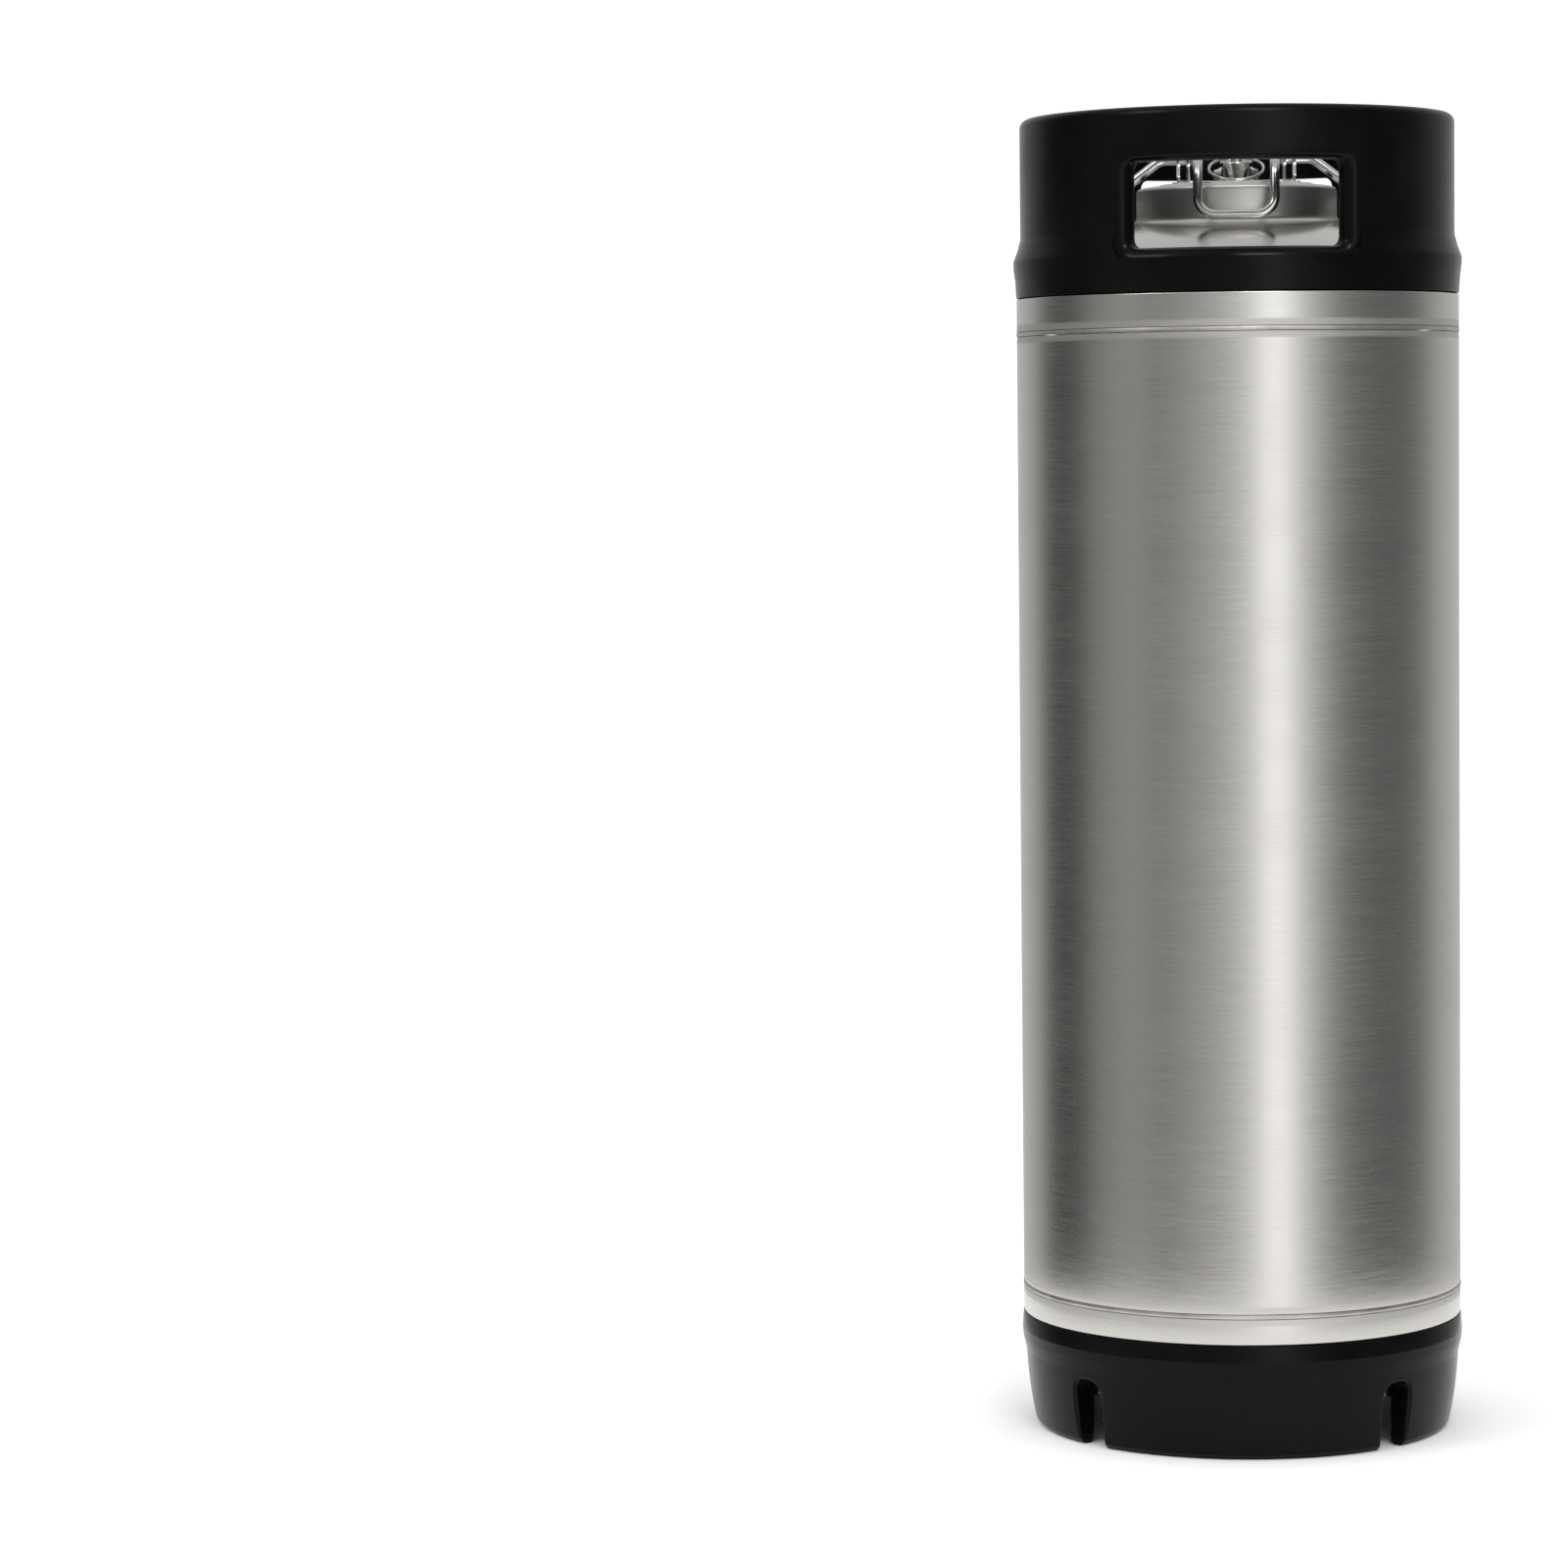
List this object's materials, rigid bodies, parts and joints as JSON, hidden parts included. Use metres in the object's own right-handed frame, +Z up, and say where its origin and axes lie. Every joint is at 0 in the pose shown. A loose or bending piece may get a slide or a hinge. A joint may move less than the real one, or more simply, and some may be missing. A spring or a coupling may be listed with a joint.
{
  "type": "ball-lock beverage keg",
  "caption": "Tall stainless drinks keg with black rubber handle ring and base, gas and liquid posts, and a bail-clamped oval lid with a relief valve and a carbonation line.",
  "frame": {"origin": "on the floor under the middle of the keg", "axes": "+Z up along the keg, -Y towards the front hand hole, +X towards the liquid post"},
  "size_m": [0.219, 0.219, 0.644],
  "materials": {
    "brushed_steel": "brushed round the keg, fine scratches",
    "polished_steel": "polished, near mirror",
    "turned_steel": "turned, bright",
    "weld_steel": "dressed weld",
    "spring_steel": "drawn wire",
    "black_rubber": "moulded, satin gloss",
    "seal_rubber": "smooth, matt",
    "grey_rubber": "smooth, matt",
    "clear_vinyl": "clear, milky, glossy",
    "sintered_steel": "porous, matt"
  },
  "bodies": {
    "keg": {"body_shell": "brushed_steel", "top_head": "polished_steel", "bottom_head": "brushed_steel", "upper_weld_bead": "weld_steel", "lower_weld_bead": "weld_steel", "handle_ring": "black_rubber", "base_boot": "black_rubber", "gas_boss": "turned_steel", "gas_dip_tube": "turned_steel", "gas_tube_seal": "seal_rubber", "gas_post": "turned_steel", "gas_post_oring": "seal_rubber", "gas_poppet_spring": "spring_steel", "liquid_boss": "turned_steel", "liquid_dip_tube": "turned_steel", "liquid_tube_seal": "seal_rubber", "liquid_post": "turned_steel", "liquid_post_oring": "seal_rubber", "liquid_poppet_spring": "spring_steel"},
    "gas_valve": {"gas_poppet": "turned_steel", "gas_poppet_seal": "seal_rubber"},
    "liquid_valve": {"liquid_poppet": "turned_steel", "liquid_poppet_seal": "seal_rubber"},
    "lid": {"lid_plate": "polished_steel", "lid_seal": "seal_rubber", "right_ear": "polished_steel", "left_ear": "polished_steel", "lid_bulkhead": "turned_steel", "lid_post": "turned_steel", "lid_post_oring": "seal_rubber", "lid_poppet_spring": "spring_steel", "relief_valve_body": "turned_steel", "relief_valve_nut": "turned_steel", "relief_valve_spring": "spring_steel", "gas_hose": "clear_vinyl", "upper_hose_clamp": "turned_steel", "lower_hose_clamp": "turned_steel", "stone_barb": "turned_steel", "diffusion_stone": "sintered_steel"},
    "lid_valve": {"lid_poppet": "turned_steel", "lid_poppet_seal": "seal_rubber"},
    "relief_plunger": {"relief_valve_stem": "turned_steel", "relief_valve_seal": "seal_rubber"},
    "pull_ring": {"relief_valve_ring": "spring_steel"},
    "bail": {"bail_wire": "polished_steel", "right_foot_boot": "grey_rubber", "left_foot_boot": "grey_rubber"}
  },
  "joints": [
    {"name": "lid_drop", "type": "slide", "parent": "keg", "child": "lid", "axis": [0, 0, -1], "range_m": [0, 0.005]},
    {"name": "bail_hinge", "type": "hinge", "parent": "lid", "child": "bail", "pos_m": [0, 0, 0.6235], "axis": [-1, 0, 0], "range_deg": [0, 100]},
    {"name": "gas_poppet_press", "type": "slide", "parent": "keg", "child": "gas_valve", "axis": [0, 0, -1], "range_m": [0, 0.003], "stiffness_N_per_m": 800, "springref_m": -0.003, "deforming": ["gas_poppet_spring"]},
    {"name": "liquid_poppet_press", "type": "slide", "parent": "keg", "child": "liquid_valve", "axis": [0, 0, -1], "range_m": [0, 0.003], "stiffness_N_per_m": 800, "springref_m": -0.003, "deforming": ["liquid_poppet_spring"]},
    {"name": "lid_poppet_press", "type": "slide", "parent": "lid", "child": "lid_valve", "axis": [0, 0, -1], "range_m": [0, 0.003], "stiffness_N_per_m": 800, "springref_m": -0.003, "deforming": ["lid_poppet_spring"]},
    {"name": "relief_valve_lift", "type": "slide", "parent": "lid", "child": "relief_plunger", "axis": [0, 0, 1], "range_m": [0, 0.003], "stiffness_N_per_m": 1500, "springref_m": -0.003, "deforming": ["relief_valve_spring"]},
    {"name": "pull_ring_swing", "type": "hinge", "parent": "relief_plunger", "child": "pull_ring", "pos_m": [0, -0.003, 0.6244], "axis": [-1, 0, 0], "range_deg": [0, 140]}
  ],
  "couplings": [
    {"joint": "bail_hinge", "follows": "lid_drop", "rad_per_m": 349}
  ]
}
